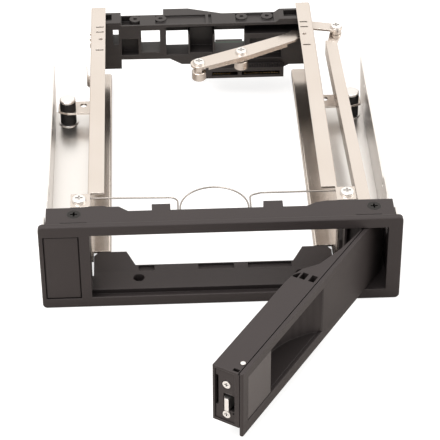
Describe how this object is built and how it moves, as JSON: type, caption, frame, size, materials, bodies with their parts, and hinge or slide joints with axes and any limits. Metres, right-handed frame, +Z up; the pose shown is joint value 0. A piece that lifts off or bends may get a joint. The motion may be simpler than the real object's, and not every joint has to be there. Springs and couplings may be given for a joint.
{
  "type": "hard drive enclosure",
  "caption": "Trayless mobile rack that holds one 3.5 inch drive in a 5.25 inch bay: hinged front door, linkage bar and ejector lever in an open nickel-plated frame.",
  "frame": {"origin": "middle of the bezel's front face at its bottom edge", "axes": "+X to the right seen from the front, +Y from the bezel's front face to the back of the bay, +Z up"},
  "size_m": [0.149, 0.2636, 0.0425],
  "materials": {
    "abs": "charcoal, fine spark texture",
    "black_abs": "black, satin",
    "nickel": "bright nickel plating",
    "black_steel": "black oxide",
    "spring_steel": "bright drawn wire",
    "rubber": "matte",
    "board": "solder mask"
  },
  "bodies": {
    "frame": {"bezel": "abs", "blank_panel": "abs", "bezel_screws": "black_steel", "rail_left": "nickel", "rail_right": "nickel", "bracket_left": "nickel", "bracket_right": "nickel", "rail_screws": "nickel", "dampers": "rubber", "damper_caps": "nickel", "damper_washers": "nickel", "crosspiece": "black_abs", "crosspiece_screws": "nickel", "backplane": "board", "drive_connector": "black_abs", "rear_sockets": "black_abs", "retention_wire": "spring_steel", "hinge_pin": "nickel", "lever_pivot": "nickel"},
    "door": {"door_shell": "abs", "door_plate": "abs", "end_cap": "abs", "end_screws": "nickel", "button_pin": "nickel", "crank_pin": "nickel", "drive_pads": "rubber"},
    "button": {"latch_button": "abs", "latch_hook": "nickel"},
    "lever": {"lever": "nickel", "pusher_posts": "nickel", "lever_screws": "nickel", "link_pin": "nickel"},
    "bar": {"link_bar": "nickel"}
  },
  "joints": [
    {"name": "door_hinge", "type": "hinge", "parent": "frame", "child": "door", "pos_m": [0.0555, 0.009, 0], "axis": [0, 0, 1], "range_deg": [-57.5, 32.5]},
    {"name": "button_pivot", "type": "hinge", "parent": "door", "child": "button", "pos_m": [0.00482, -0.0806, 0], "axis": [0, 0, 1], "range_deg": [0, 6], "stiffness_Nm_per_rad": 0.02},
    {"name": "lever_pivot", "type": "hinge", "parent": "frame", "child": "lever", "pos_m": [0.0466, 0.164, 0], "axis": [0, 0, 1], "range_deg": [-37.6, 21.3]},
    {"name": "bar_link", "type": "hinge", "parent": "lever", "child": "bar", "pos_m": [0.0612, 0.1606, 0], "axis": [0, 0, 1], "range_deg": [-23.1, 40.7]}
  ],
  "couplings": [
    {"joint": "lever_pivot", "follows": "door_hinge", "ratio": 0.6515},
    {"joint": "bar_link", "follows": "door_hinge", "ratio": -0.7054}
  ]
}
